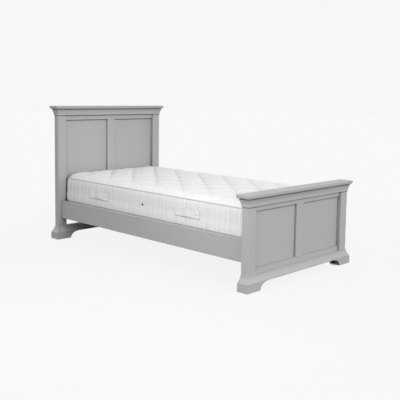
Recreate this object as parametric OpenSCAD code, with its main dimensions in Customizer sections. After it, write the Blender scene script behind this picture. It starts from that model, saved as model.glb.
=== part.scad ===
// Single bed with a panelled headboard and footboard, side rails, slats and a quilted mattress.
// Millimetres. The bed stands on Z = 0, the head is towards +Y and the foot towards -Y.

/* [Bed] */
// Width over the outer faces of the posts
bed_w = 1030; // [980:5:1100]
// Clear length between the footboard posts and the headboard posts
inner_l = 1915; // [1860:5:2060]
// Height of the headboard over its cap
headboard_h = 1038; // [920:2:1160]
// Height of the footboard over its cap
footboard_h = 575; // [550:1:680]

/* [Posts] */
// Width of a post, seen from the foot of the bed
post_w = 73; // [66:1:90]
// Depth of a post, along the bed
post_d = 48; // [46:1:60]
// Radius of the softened upright edges of a post
post_edge_r = 1.5; // [0.5:0.5:3]

/* [Cap and cornice] */
// Thickness of the cap board
cap_t = 22.5; // [18:0.5:28]
// How far the cap stands out past the posts on every side
cap_out = 26.5; // [20:0.5:32]
// Height of the square nosing on the cap's top edge
cap_nosing = 8.5; // [6:0.5:12]
// How far the underside of the cap stands out past the posts
cap_under_out = 16; // [14:0.5:19]
// Height of the cove moulding under the cap
cornice_h = 48.5; // [44:0.5:60]
// How far the top of the cove moulding stands out
cornice_out = 13; // [8:0.5:13.5]
// How far the lower edge of the cove moulding stands out
cornice_edge_out = 4.5; // [3:0.5:6]
// Height of the square edge under the cove
cornice_edge_h = 13; // [8:0.5:16]
// Height of the square fillet above the cove
cornice_fillet_h = 10; // [6:0.5:13]
// Depth of the cove's hollow
cornice_hollow = 1.5; // [0.5:0.25:3]

/* [Plinth and bracket feet] */
// Height of the plinth over the floor
plinth_h = 95.5; // [90:0.5:98]
// Height of the bracket feet and of the arch between them
foot_h = 48; // [36:1:52]
// How far a bracket foot stands out past the post
foot_out = 22.7; // [19:0.1:26]
// Width of a bracket foot on the floor
foot_w = 120; // [110:1:140]
// Length of the curve from a bracket foot into the flat of the arch
foot_shoulder = 75; // [50:1:100]
// How far the footboard's plinth stands out on the mattress side, as a share of the outside
inner_plinth_share = 0.4; // [0.3:0.05:1]
// Depth of the small ledge where the moulding meets the foot
foot_ledge = 2.2; // [1:0.1:4]
// Height of the square fillet under the plinth's cove
plinth_fillet_h = 6; // [4:0.5:9]
// How far the top bead of the plinth stands out
plinth_bead_out = 4; // [3:0.5:6]
// Height of the top bead of the plinth
plinth_bead_h = 8; // [6:0.5:10]
// Radius of the rounded top of the plinth's bead
plinth_bead_r = 2.5; // [1:0.5:2.5]
// Depth of the hollow of the plinth's cove
plinth_hollow = 1.5; // [0.5:0.25:3]

/* [Rails, muntins and panels] */
// Thickness of the board rails and muntins
frame_t = 26; // [24:1:27]
// How far the board rails and muntins lie behind the post faces
frame_recess = 13; // [8:1:14]
// Height of the headboard's top rail that shows under the cornice
headboard_rail_show = 37.5; // [25:0.5:50]
// Height of the footboard's top rail that shows under the cornice
footboard_rail_show = 32; // [25:0.5:50]
// Width of the middle muntin
muntin_w = 73; // [60:1:90]
// Height of the footboard's bottom rail over the floor
footboard_rail_top = 132; // [126:1:150]
// Height of the headboard's low stretcher over the floor
stretcher_top = 100; // [99:1:120]
// Underside of the headboard's bottom rail over the floor
headboard_rail_z = 200; // [180:5:230]
// Height of the headboard's bottom rail
headboard_rail_h = 100; // [80:5:130]
// Thickness of a panel
panel_t = 6; // [4:0.5:8]
// How far a panel lies behind the rails and muntin
panel_recess = 13; // [8:0.5:14]
// Depth of the groove that holds a panel
groove_d = 8; // [6:0.5:9]
// Gap left round the panel's edge in its groove
panel_edge_gap = 0.5; // [0.3:0.1:0.8]
// Length of a rail tenon in its post
tenon_l = 25; // [18:1:26]
// Length of a muntin tenon in its rail
muntin_tenon_l = 18; // [12:1:22]
// Thickness of the tenons
tenon_t = 10; // [8:0.5:12]
// Shoulder above and below, or beside, each tenon
tenon_shoulder = 10; // [9.5:0.5:14]
// Gap on each side of a tenon or a panel in its slot
joint_gap = 0.2; // [0.1:0.05:0.3]

/* [Side rails] */
// Height of a side rail
side_rail_h = 136; // [120:1:160]
// Underside of a side rail over the floor
side_rail_z = 164; // [150:2:200]
// Thickness of a side rail
side_rail_t = 28; // [26:1:32]
// How far a side rail lies in from the outer face of the posts
side_rail_inset = 25; // [20:1:28]
// Radius of the softened long edges of a side rail
side_rail_edge_r = 2; // [1:0.5:4]
// Width of the slat ledger on the inside of a side rail
ledger_w = 30; // [24:1:40]
// Height of the slat ledger
ledger_h = 30; // [24:1:32]
// Gap at each end of a ledger
ledger_end_gap = 4; // [2:1:10]

/* [Slats] */
// Width of a slat
slat_w = 90; // [70:1:110]
// Thickness of a slat
slat_t = 18; // [15:1:20]
// Radius of the long edges of a slat
slat_edge_r = 3; // [1:0.5:5]
// Gap between a slat's end and the side rail
slat_end_gap = 2; // [1:0.5:5]
// How far the slats' tops lie below the top of the side rails
slat_drop = 11; // [5:1:16]

/* [Fittings] */
// Diameter of the studs that hold a side rail to a post
stud_d = 8; // [6:1:10]
// Depth of the threaded insert in the post
insert_l = 22; // [16:1:26]
// Outer diameter of the threaded insert
insert_d = 12; // [11:0.5:13]
// Distance of the nut pocket's centre from the rail's end
pocket_dist = 58; // [50:1:80]
// Radius of the nut pocket
pocket_r = 16; // [15:0.5:16.5]
// Depth of the nut pocket in the rail's inner face
pocket_depth = 22; // [21.5:0.5:23.5]
// Height of the lower stud above the rail's underside
stud_low = 20; // [18:1:21]
// Height between the two studs at a rail's end
stud_pitch = 34; // [33.5:0.5:36]
// Thickness of the half-moon washer at its middle
washer_t = 8; // [6:0.5:10]
// Width across the flats of a nut
nut_af = 13; // [12:1:14]
// Thickness of a nut
nut_t = 6.5; // [5:0.5:8]
// Diameter of the wooden locating dowels
dowel_d = 10; // [8:1:10]
// Length of the wooden locating dowels
dowel_l = 60; // [50:1:64]
// Height of a dowel above the rail's underside
dowel_z = 101; // [90:1:112]
// Shank diameter of the wood screws
screw_d = 4; // [3:0.5:5]
// Head diameter of the wood screws
screw_head_d = 8; // [7:0.5:9]
// Length of the slat screws
slat_screw_l = 35; // [30:1:40]
// Length of the ledger screws
ledger_screw_l = 45; // [40:1:52]
// Radial gap of a pin or screw in its hole
pin_gap = 0.1; // [0.05:0.05:0.15]

/* [Mattress] */
// Gap between the mattress and each side rail
mattress_side_gap = 7; // [5:0.5:12]
// Gap between the mattress and the headboard
mattress_head_gap = 0.5; // [0.3:0.1:2]
// Gap by which the mattress clears the footboard's cap when it is lifted out
mattress_lift_gap = 1.5; // [1:0.5:8]
// Gap between the mattress and the slats
mattress_seat_gap = 0.3; // [0.2:0.05:0.5]
// Height of the mattress from its base to the upper seam
mattress_seam_h = 188; // [160:2:220]
// Radius of the mattress's upright corners
mattress_corner_r = 45; // [30:1:70]
// How far the seams are drawn in from the middle of the sides
mattress_draw_in = 8; // [4:0.5:12]
// Rise of the top from its edge to the stitches in its middle
crown_h = 36; // [25:1:50]
// Distance from the edge over which the top rolls up
crown_run = 50; // [40:5:90]
// Share of the rise that belongs to the gentle dome within the rolled edge
dome_share = 0.2; // [0:0.05:0.4]
// Distance from the edge over which the dome rises
dome_run = 400; // [250:10:440]
// Height of the diamond pillows over their stitches in the middle of the top
pillow_h = 11; // [4:1:18]
// Share of that height that is left at the rolled edge
pillow_edge_share = 0.35; // [0.1:0.05:1]
// Diamonds across the mattress
pillows_across = 4; // [3:1:5]
// Diamonds along the mattress
pillows_along = 7; // [6:1:9]
// Thickness of the padded border
border_t = 14; // [12:1:20]
// Thickness of the base panel
base_t = 10; // [9.5:0.5:14]
// Diameter of the piping
piping_d = 9; // [6:0.5:9]
// Length of a handle
handle_l = 230; // [180:5:280]
// Height of a handle strap
handle_h = 57; // [36:1:64]
// Thickness of a handle strap
handle_t = 2.5; // [2:0.5:4]
// Distance from the middle of a pair of handles to the middle of each
handle_dist = 472; // [350:2:560]
// Distance of a pair's middle from the middle of the mattress towards the head
handle_shift = 24; // [0:2:40]
// Height of the handles' middle over the mattress base
handle_z = 98; // [85:1:110]
// Outer diameter of a vent eyelet
vent_d = 18; // [14:1:24]
// Hole diameter of a vent eyelet
vent_hole_d = 9; // [6:1:12]
// Height of the vent eyelets over the mattress base
vent_z = 97; // [85:1:120]

/* [Hidden] */
$fn = 48;

slat_count = 12;
arc_steps = 8;          // straight steps in a moulding's curve
bead_steps = 3;         // straight steps in the rounded top of the plinth
past = 1;               // how far a cut runs past the surface that it opens
left = -1;
right = 1;
foot_end = -1;
head_end = 1;

paint_grey = [0.69, 0.69, 0.67];
pine = [0.82, 0.68, 0.48];
steel = [0.72, 0.73, 0.75];
ticking_white = [0.93, 0.93, 0.92];
seam_grey = [0.66, 0.66, 0.66];

board_y = inner_l / 2 + post_d / 2;
post_x = bed_w / 2 - post_w / 2;
opening_x = bed_w / 2 - post_w;
crown_moulding_h = cap_t + cornice_h;
frame_front = -post_d / 2 + frame_recess;
frame_mid = frame_front + frame_t / 2;
frame_back_recess = post_d - frame_recess - frame_t;
panel_mid = frame_front + panel_recess + panel_t / 2;
groove_w = panel_t + 2 * joint_gap;
mitre_reach = cap_out + foot_out;

side_rail_mid = bed_w / 2 - side_rail_inset - side_rail_t / 2;
side_rail_inner = side_rail_mid - side_rail_t / 2;
side_rail_top = side_rail_z + side_rail_h;
slat_top = side_rail_top - slat_drop;
ledger_top = slat_top - slat_t;
slat_pitch = inner_l / slat_count;
stud_heights = [side_rail_z + stud_low, side_rail_z + stud_low + stud_pitch];
stud_end = 4;           // stud left showing past its nut
washer_flat = pocket_dist - pocket_r + pin_gap + washer_t;
washer_w = 16;          // width of the washer along the pocket's axis

mattress_hw = side_rail_inner - mattress_side_gap;
mattress_l = inner_l - mattress_head_gap - cap_out - mattress_lift_gap;
mattress_hl = mattress_l / 2;
mattress_y = inner_l / 2 - mattress_head_gap - mattress_hl;
mattress_z = slat_top + mattress_seat_gap;
seam_z = mattress_z + mattress_seam_h;
seam_step = piping_d + pin_gap;
border_low = mattress_z + base_t;
border_top = seam_z - seam_step / 2;
border_rings = 8;
corner_steps = 5;
grid_per_pillow = 4;
rim_line_share = 0.4;   // first grid line of the top, as a share of the corner radius
roll_curve = 2.4;       // how soon the top's rolled edge levels off
pillow_curve = 0.6;     // how soon a pillow levels off beside its stitches
seam_curve = 4;         // how near its seams the border turns in

// Points of an ellipse's arc, from angle a0 to a1
function arc_points(mid, rx, ry, a0, a1, steps) =
    [for (i = [0:steps]) let (a = a0 + (a1 - a0) * i / steps) mid + [rx * cos(a), ry * sin(a)]];

// Points of a shallow curve from a to b, hollowed to the left of its way
function hollow_points(a, b, depth, steps) = [
    for (i = [0:steps]) let (t = i / steps, run = b - a)
        a + t * run + 4 * depth * t * (1 - t) * [-run[1], run[0]] / norm(run)
];

// Outline of a rectangle with rounded corners, centred on the origin
function round_rect(w, h, r, steps) = [
    for (c = [[1, 1, 0], [-1, 1, 90], [-1, -1, 180], [1, -1, 270]])
        each arc_points([c[0] * (w / 2 - r), c[1] * (h / 2 - r)], r, r, c[2], c[2] + 90, steps)
];

// Profiles give [distance out from the post's face, height]

// The cove moulding under the cap, with its top at height 0 and its back at -recess
function cornice_profile(recess) = concat(
    [[-recess, -cornice_h], [cornice_edge_out, -cornice_h]],
    hollow_points([cornice_edge_out, cornice_edge_h - cornice_h], [cornice_out, -cornice_fillet_h],
        cornice_hollow, arc_steps),
    [[cornice_out, 0], [-recess, 0]]
);

// The skirting's face with its foot, ledge, fillet, cove and rounded top bead
plinth_face = concat(
    [[foot_out, 0], [foot_out, foot_h], [foot_out - foot_ledge, foot_h]],
    hollow_points([foot_out - foot_ledge, foot_h + plinth_fillet_h],
        [plinth_bead_out, plinth_h - plinth_bead_h], plinth_hollow, arc_steps),
    arc_points([plinth_bead_out - plinth_bead_r, plinth_h - plinth_bead_r],
        plinth_bead_r, plinth_bead_r, 0, 90, bead_steps)
);

// The skirting with its face drawn in to a share of how far it stands out
function plinth_profile(recess, share) = concat(
    [[-recess, 0]], [for (q = plinth_face) [q[0] * share, q[1]]], [[-recess, plinth_h]]
);

// The cap's nosing and ovolo edge on both sides of a board that is `depth` over the posts
function cap_profile(depth) =
    let (edge = concat([[cap_out, 0], [cap_out, -cap_nosing]],
        arc_points([cap_under_out, -cap_nosing], cap_out - cap_under_out, cap_t - cap_nosing,
            0, -90, arc_steps)))
    concat([for (q = edge) [depth / 2 + q[0], q[1]]],
        [for (i = [len(edge) - 1:-1:0]) [-depth / 2 - edge[i][0], edge[i][1]]]);

// Extrudes a [Y, Z] outline along X, centred
module along_x(length) rotate([90, 0, 90]) linear_extrude(length, center = true) children();

// Extrudes an [X, Z] outline along Y, centred
module along_y(length) rotate([90, 0, 0]) linear_extrude(length, center = true) children();

module footboard_place() translate([0, -board_y, 0]) children();
module headboard_place() translate([0, board_y, 0]) children();

// Plan of a front moulding, mitred at both ends and reaching in between the posts.
// The share tells how far it stands out against the mouldings on the ends.
module long_plan(share) polygon([
    [-bed_w / 2 - mitre_reach, -post_d / 2 - share * mitre_reach],
    [bed_w / 2 + mitre_reach, -post_d / 2 - share * mitre_reach],
    [bed_w / 2, -post_d / 2], [opening_x, -post_d / 2], [opening_x, post_d / 2],
    [-opening_x, post_d / 2], [-opening_x, -post_d / 2], [-bed_w / 2, -post_d / 2]
]);

// Plan of a moulding across the outer face of the left post, mitred at both ends
module end_plan(back_share) polygon([
    [-bed_w / 2 - mitre_reach, -post_d / 2 - mitre_reach], [-bed_w / 2, -post_d / 2],
    [-bed_w / 2, post_d / 2], [-bed_w / 2 - mitre_reach, post_d / 2 + back_share * mitre_reach]
]);

// Moulding along the front of a board from its profile, with `tall` over its full height
module long_moulding(profile, tall, share = 1) intersection() {
    along_x(bed_w + 2 * mitre_reach) polygon([for (q = profile) [-post_d / 2 - q[0], q[1]]]);
    translate([0, 0, -tall]) linear_extrude(2 * tall) long_plan(share);
}

// Moulding across the left end of a board
module end_moulding(profile, tall, back_share = 1) intersection() {
    along_y(post_d + 2 * mitre_reach) polygon([for (q = profile) [-bed_w / 2 - q[0], q[1]]]);
    translate([0, 0, -tall]) linear_extrude(2 * tall) end_plan(back_share);
}

module cap(board_h) color(paint_grey) translate([0, 0, board_h]) intersection() {
    along_x(bed_w + 2 * cap_out) polygon(cap_profile(post_d));
    along_y(post_d + 2 * cap_out) polygon(cap_profile(bed_w));
}

module cornice_long(board_h, recess) color(paint_grey)
    translate([0, 0, board_h - cap_t]) long_moulding(cornice_profile(recess), cornice_h);

module cornice_ends(board_h) color(paint_grey) translate([0, 0, board_h - cap_t]) {
    end_moulding(cornice_profile(0), cornice_h);
    mirror([1, 0, 0]) end_moulding(cornice_profile(0), cornice_h);
}

// Skirting board cut away between its two feet in a flat arch with curved shoulders
module plinth_long(recess, share = 1) color(paint_grey) difference() {
    long_moulding(plinth_profile(recess, share), plinth_h, share);
    along_y(2 * (post_d + mitre_reach)) {
        arch_x = bed_w / 2 + foot_out - foot_w - foot_shoulder;
        translate([-arch_x, -past]) square([2 * arch_x, foot_h + past]);
        for (side = [left, right]) translate([side * arch_x, 0])
            scale([foot_shoulder / foot_h, 1]) circle(foot_h);
    }
}

module plinth_ends(back_share = 1) color(paint_grey) {
    end_moulding(plinth_profile(0, 1), plinth_h, back_share);
    mirror([1, 0, 0]) end_moulding(plinth_profile(0, 1), plinth_h, back_share);
}

// Slot for a rail's tenon in the right face of a post, between two heights
module post_mortise(z0, z1) translate([
    post_w / 2 - tenon_l - joint_gap, frame_mid - tenon_t / 2 - joint_gap,
    z0 + tenon_shoulder - joint_gap
]) cube([
    tenon_l + joint_gap + past, tenon_t + 2 * joint_gap,
    z1 - z0 - 2 * tenon_shoulder + 2 * joint_gap
]);

// Groove for a panel's edge in the right face of a post
module post_groove(z0, z1) translate([
    post_w / 2 - groove_d, panel_mid - groove_w / 2, z0 - groove_d
]) cube([groove_d + past, groove_w, z1 - z0 + 2 * groove_d]);

// Left post: `rails` lists the [low, high] of each rail, and the last two hold the panels
module post(board_h, rails, rail_end) color(paint_grey) difference() {
    linear_extrude(board_h - cap_t) polygon(round_rect(post_w, post_d, post_edge_r, 3));
    for (r = rails) post_mortise(r[0], r[1]);
    post_groove(rails[len(rails) - 2][1], rails[len(rails) - 1][0]);
    translate([post_x - side_rail_mid, -rail_end * post_d / 2, 0]) {
        for (z = stud_heights)
            translate([0, rail_end * (insert_l - past) / 2, z]) rotate([90, 0, 0])
                cylinder(h = insert_l + past, d = insert_d + 2 * pin_gap, center = true);
        translate([0, rail_end * (dowel_l / 2 - past + pin_gap) / 2, side_rail_z + dowel_z])
            rotate([90, 0, 0])
                cylinder(h = dowel_l / 2 + past + pin_gap, d = dowel_d + 2 * pin_gap, center = true);
    }
}

// Rail of a board between two heights, with panel grooves in its upper or lower edge
module board_rail(z0, z1, groove_above, groove_below) color(paint_grey) difference() {
    union() {
        translate([-opening_x, frame_front, z0]) cube([2 * opening_x, frame_t, z1 - z0]);
        translate([-opening_x - tenon_l, frame_mid - tenon_t / 2, z0 + tenon_shoulder])
            cube([2 * (opening_x + tenon_l), tenon_t, z1 - z0 - 2 * tenon_shoulder]);
    }
    if (groove_above) rail_slots(z1, -1);
    if (groove_below) rail_slots(z0, 1);
}

// Panel groove and muntin mortise cut into a rail's edge at height z, going down or up
module rail_slots(z, way) {
    translate([0, panel_mid, z + way * (groove_d - past) / 2])
        cube([2 * opening_x + 2 * past, groove_w, groove_d + past], center = true);
    translate([0, frame_mid, z + way * (muntin_tenon_l + joint_gap - past) / 2])
        cube([
            muntin_w - 2 * tenon_shoulder + 2 * joint_gap, tenon_t + 2 * joint_gap,
            muntin_tenon_l + joint_gap + past
        ], center = true);
}

module muntin(z0, z1) color(paint_grey) difference() {
    union() {
        translate([-muntin_w / 2, frame_front, z0]) cube([muntin_w, frame_t, z1 - z0]);
        translate([-muntin_w / 2 + tenon_shoulder, frame_mid - tenon_t / 2, z0 - muntin_tenon_l])
            cube([muntin_w - 2 * tenon_shoulder, tenon_t, z1 - z0 + 2 * muntin_tenon_l]);
    }
    for (side = [left, right])
        translate([side * (muntin_w - groove_d + past) / 2, panel_mid, (z0 + z1) / 2])
            cube([groove_d + past, groove_w, z1 - z0 + 2 * past], center = true);
}

// Panel in its grooves, between the edges of the rails at z0 and z1
module panel(side, z0, z1) color(paint_grey) {
    hold = groove_d - panel_edge_gap;
    low_x = muntin_w / 2 - hold;
    wide = opening_x - muntin_w / 2 + 2 * hold;
    translate([side * (low_x + wide / 2), panel_mid, (z0 + z1) / 2])
        cube([wide, panel_t, z1 - z0 + 2 * hold], center = true);
}

// The rails of each board from the floor up, and the heights between the edges of the panels' openings
function top_rail(board_h, show) = [board_h - crown_moulding_h - show, board_h - cap_t];
footboard_top = top_rail(footboard_h, footboard_rail_show);
headboard_top = top_rail(headboard_h, headboard_rail_show);
footboard_rail = [foot_h, footboard_rail_top];
stretcher = [foot_h, stretcher_top];
headboard_rail = [headboard_rail_z, headboard_rail_z + headboard_rail_h];
footboard_rails = [footboard_rail, footboard_top];
headboard_rails = [stretcher, headboard_rail, headboard_top];
footboard_panel_z = [footboard_rail[1], footboard_top[0]];
headboard_panel_z = [headboard_rail[1], headboard_top[0]];

module side_post(side) translate([side * post_x, 0, 0])
    mirror([side == right ? 1 : 0, 0, 0]) children();

module footboard_cap() footboard_place() cap(footboard_h);
module footboard_cornice_front() footboard_place() cornice_long(footboard_h, frame_recess);
module footboard_cornice_back() footboard_place() mirror([0, 1, 0])
    cornice_long(footboard_h, frame_back_recess);
module footboard_cornice_ends() footboard_place() cornice_ends(footboard_h);
module footboard_post(side) footboard_place() side_post(side)
    post(footboard_h, footboard_rails, foot_end);
module footboard_top_rail() footboard_place()
    board_rail(footboard_top[0], footboard_top[1], false, true);
module footboard_bottom_rail() footboard_place()
    board_rail(footboard_rail[0], footboard_rail[1], true, false);
module footboard_muntin() footboard_place() muntin(footboard_panel_z[0], footboard_panel_z[1]);
module footboard_panel(side) footboard_place()
    panel(side, footboard_panel_z[0], footboard_panel_z[1]);
module footboard_plinth_front() footboard_place() plinth_long(frame_recess);
module footboard_plinth_back() footboard_place() mirror([0, 1, 0])
    plinth_long(frame_back_recess, inner_plinth_share);
module footboard_plinth_ends() footboard_place() plinth_ends(inner_plinth_share);

module headboard_cap() headboard_place() cap(headboard_h);
module headboard_cornice_front() headboard_place() cornice_long(headboard_h, frame_recess);
module headboard_cornice_back() headboard_place() mirror([0, 1, 0])
    cornice_long(headboard_h, frame_back_recess);
module headboard_cornice_ends() headboard_place() cornice_ends(headboard_h);
module headboard_post(side) headboard_place() side_post(side)
    post(headboard_h, headboard_rails, head_end);
module headboard_top_rail() headboard_place()
    board_rail(headboard_top[0], headboard_top[1], false, true);
module headboard_bottom_rail() headboard_place()
    board_rail(headboard_rail[0], headboard_rail[1], true, false);
module headboard_stretcher() headboard_place()
    board_rail(stretcher[0], stretcher[1], false, false);
module headboard_muntin() headboard_place() muntin(headboard_panel_z[0], headboard_panel_z[1]);
module headboard_panel(side) headboard_place()
    panel(side, headboard_panel_z[0], headboard_panel_z[1]);
module headboard_plinth_front() headboard_place() plinth_long(frame_recess);
module headboard_plinth_back() headboard_place() mirror([0, 1, 0])
    plinth_long(frame_back_recess);
module headboard_plinth_ends() headboard_place() plinth_ends();

// Puts its children at each of the four rail ends, with +Y running from the end into the rail
module rail_ends(sides = [left, right])
    for (side = sides) for (end = [foot_end, head_end])
        translate([side * side_rail_mid, end * inner_l / 2, 0])
            mirror([side == left ? 1 : 0, 0, 0]) mirror([0, end == head_end ? 1 : 0, 0])
                children();

// Cylinder along +Y from distance y0 to y1
module rod(y0, y1, d) translate([0, y1, 0]) rotate([90, 0, 0]) cylinder(h = y1 - y0, d = d);

// Round nut pocket from the inner face of a rail's end towards its outer face
module nut_pocket(r, depth, extra) translate([-side_rail_t / 2 - extra, pocket_dist, 0])
    rotate([0, 90, 0]) cylinder(h = depth + extra, r = r);

module side_rail(side) color(paint_grey) difference() {
    translate([side * side_rail_mid, 0, side_rail_z + side_rail_h / 2]) along_y(inner_l)
        polygon(round_rect(side_rail_t, side_rail_h, side_rail_edge_r, 4));
    rail_ends([side]) {
        for (z = stud_heights) translate([0, 0, z]) {
            rod(-past, pocket_dist, stud_d + 1);
            nut_pocket(pocket_r, pocket_depth, past);
        }
        translate([0, 0, side_rail_z + dowel_z])
            rod(-past, dowel_l / 2 + pin_gap, dowel_d + 2 * pin_gap);
    }
    ledger_screw_places(side) screw_hole(ledger_screw_l);
}

module ledger(side) color(pine) difference() {
    translate([side * (side_rail_inner - ledger_w / 2), 0, ledger_top - ledger_h / 2])
        cube([ledger_w, inner_l - 2 * ledger_end_gap, ledger_h], center = true);
    ledger_screw_places(side) screw_hole(ledger_screw_l);
    for (i = [1:slat_count]) slat_screw_places(i, [side]) screw_hole(slat_screw_l);
}

function slat_y(i) = (i - (slat_count + 1) / 2) * slat_pitch;

module slat(i) color(pine) difference() {
    translate([0, slat_y(i), slat_top - slat_t / 2])
        along_x(2 * (side_rail_inner - slat_end_gap))
            polygon(round_rect(slat_w, slat_t, slat_edge_r, 3));
    slat_screw_places(i, [left, right]) screw_hole(slat_screw_l);
}

// Countersunk wood screw pointing down, with its head flush at the origin
module screw(length) color(steel) translate([0, 0, -length]) {
    head_h = (screw_head_d - screw_d) / 2;
    cylinder(h = length - head_h, d = screw_d);
    translate([0, 0, length - head_h]) cylinder(h = head_h, d1 = screw_d, d2 = screw_head_d);
}

module screw_hole(length) translate([0, 0, -length - pin_gap]) {
    head_h = (screw_head_d - screw_d) / 2;
    cylinder(h = length + past, d = screw_d + 2 * pin_gap);
    translate([0, 0, length - head_h])
        cylinder(h = head_h + pin_gap, d1 = screw_d + 2 * pin_gap, d2 = screw_head_d + 4 * pin_gap);
    translate([0, 0, length + pin_gap / 2])
        cylinder(h = past, d = screw_head_d + 4 * pin_gap);
}

// One screw through the ledger into the side rail in every second gap between slats
module ledger_screw_places(side) for (i = [1:2:slat_count - 1])
    translate([
        side * (side_rail_inner - ledger_w), slat_y(i) + slat_pitch / 2, ledger_top - ledger_h / 2
    ]) rotate([0, -side * 90, 0]) children();

module slat_screw_places(i, sides) for (side = sides)
    translate([side * (side_rail_inner - ledger_w / 2), slat_y(i), slat_top]) children();

module rail_studs() color(steel) rail_ends() for (z = stud_heights)
    translate([0, 0, z]) rod(-insert_l, washer_flat + nut_t + stud_end, stud_d);

module stud_inserts() color(steel) rail_ends() for (z = stud_heights)
    translate([0, 0, z]) difference() {
        rod(-insert_l, 0, insert_d);
        rod(-insert_l - past, past, stud_d + 2 * pin_gap);
    }

// Washer with a round side in the pocket's wall and a flat side for the nut
module half_moon_washers() color(steel) rail_ends() for (z = stud_heights)
    translate([0, 0, z]) difference() {
        intersection() {
            translate([-washer_w / 2, pocket_dist, 0]) rotate([0, 90, 0])
                cylinder(h = washer_w, r = pocket_r - pin_gap);
            translate([-washer_w, washer_flat - pocket_r, -pocket_r])
                cube([2 * washer_w, pocket_r, 2 * pocket_r]);
        }
        rod(0, pocket_dist, stud_d + 1);
    }

module stud_nuts() color(steel) rail_ends() for (z = stud_heights)
    translate([0, 0, z]) difference() {
        translate([0, washer_flat + nut_t, 0]) rotate([90, 0, 0])
            cylinder(h = nut_t, d = nut_af / cos(30), $fn = 6);
        rod(0, 2 * pocket_dist, stud_d + 2 * pin_gap);
    }

module rail_dowels() color(pine) rail_ends() translate([0, 0, side_rail_z + dowel_z])
    rod(-dowel_l / 2, dowel_l / 2, dowel_d);

module ledger_screws() for (side = [left, right])
    ledger_screw_places(side) screw(ledger_screw_l);

module slat_screws() for (i = [1:slat_count])
    slat_screw_places(i, [left, right]) screw(slat_screw_l);

// Moves a point in the corner square of the mattress's plan onto its rounded corner
function in_corner(p, hw, hl, r) =
    let (dx = abs(p[0]) - hw + r, dy = abs(p[1]) - hl + r)
    dx <= 0 || dy <= 0 ? p :
    let (k = max(dx, dy) / norm([dx, dy]))
    [sign(p[0]) * (hw - r + dx * k), sign(p[1]) * (hl - r + dy * k)];

// Outline of the mattress drawn in by `inset`
function mattress_outline(inset) =
    round_rect(2 * (mattress_hw - inset), 2 * (mattress_hl - inset), mattress_corner_r - inset,
        corner_steps);

// How far the border's outer face is drawn in at height z
function border_inset(z) =
    mattress_draw_in
    * pow(abs(2 * (z - border_low) / (border_top - border_low) - 1), seam_curve);

// Lines of the top's grid: even steps that meet on the stitches, and two lines near each edge
function grid_lines(half, pillows) =
    let (steps = pillows * grid_per_pillow, rim = mattress_corner_r * rim_line_share)
    concat([-half, -half + rim],
        [for (i = [1:steps - 1]) half * (2 * i / steps - 1)],
        [half - rim, half]);

// Height of the quilted top over its edge: a rolled rim, a gentle dome and diamond pillows
function quilt_height(x, y, hw, hl) =
    let (edge = min(hw - abs(x), hl - abs(y)),
        roll = 1 - pow(1 - min(edge / crown_run, 1), roll_curve),
        dome = sin(90 * min(edge / dome_run, 1)),
        across = pillows_across * x / (2 * hw),
        along = pillows_along * y / (2 * hl),
        pillow = pow(abs(cos(180 * (across + along)) * cos(180 * (across - along))),
            pillow_curve))
    crown_h * ((1 - dome_share) * roll + dome_share * dome)
    + pillow_h * pillow * roll * (pillow_edge_share + (1 - pillow_edge_share) * dome);

module mattress_place() translate([0, mattress_y, 0]) children();

// Quilted top panel: a flat underside, a short upright edge and pillows between the stitches
module mattress_top() mattress_place() color(ticking_white) {
    inset = mattress_draw_in + seam_step;
    hw = mattress_hw - inset;
    hl = mattress_hl - inset;
    xs = grid_lines(hw, pillows_across);
    ys = grid_lines(hl, pillows_along);
    nx = len(xs);
    ny = len(ys);
    edge_z = seam_z + seam_step / 2;
    grid = [for (y = ys) for (x = xs) in_corner([x, y], hw, hl, mattress_corner_r - inset)];
    upper = [for (k = [0:nx * ny - 1]) [
        grid[k][0], grid[k][1],
        edge_z + quilt_height(xs[k % nx], ys[floor(k / nx)], hw, hl)
    ]];
    rim = concat(
        [for (i = [0:nx - 2]) i], [for (j = [0:ny - 2]) j * nx + nx - 1],
        [for (i = [nx - 1:-1:1]) (ny - 1) * nx + i], [for (j = [ny - 1:-1:1]) j * nx]
    );
    n = len(rim);
    low = nx * ny;
    lower = [for (k = rim) [grid[k][0], grid[k][1], border_top]];
    polyhedron(
        concat(upper, lower, [[0, 0, border_top]]),
        concat(
            [for (j = [0:ny - 2]) for (i = [0:nx - 2]) let (a = j * nx + i)
                each (i + j) % 2 == 0
                    ? [[a, a + nx, a + nx + 1], [a, a + nx + 1, a + 1]]
                    : [[a, a + nx, a + 1], [a + nx, a + nx + 1, a + 1]]],
            [for (k = [0:n - 1]) let (m = (k + 1) % n)
                each [[rim[k], rim[m], low + m], [rim[k], low + m, low + k],
                    [low + k, low + m, low + n]]]
        )
    );
}

// Padded border that goes round the core, full at mid height and drawn in at both seams
module mattress_border() mattress_place() color(ticking_white) difference() {
    rings = [for (k = [0:border_rings]) let (z = border_low + (border_top - border_low) * k / border_rings)
        [for (q = mattress_outline(border_inset(z))) [q[0], q[1], z]]];
    n = len(rings[0]);
    hollow = [for (z = [border_low, border_top]) [for (q = mattress_outline(border_t)) [q[0], q[1], z]]];
    inner = n * (border_rings + 1);
    top = n * border_rings;
    polyhedron(
        concat([for (ring = rings) each ring], hollow[0], hollow[1]),
        [for (i = [0:n - 1]) let (m = (i + 1) % n) each concat(
            [for (k = [0:border_rings - 1]) let (a = k * n)
                each [[a + i, a + n + m, a + m], [a + i, a + n + i, a + n + m]]],
            [[inner + i, inner + m, inner + n + m], [inner + i, inner + n + m, inner + n + i],
                [i, m, inner + m], [i, inner + m, inner + i],
                [top + i, inner + n + m, top + m], [top + i, inner + n + i, inner + n + m]]
        )]
    );
    vent_places() cylinder(h = 4 * border_t, d = vent_hole_d, center = true);
}

module mattress_core() mattress_place() color(seam_grey) translate([0, 0, border_low])
    linear_extrude(border_top - border_low) polygon(mattress_outline(border_t));

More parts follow.
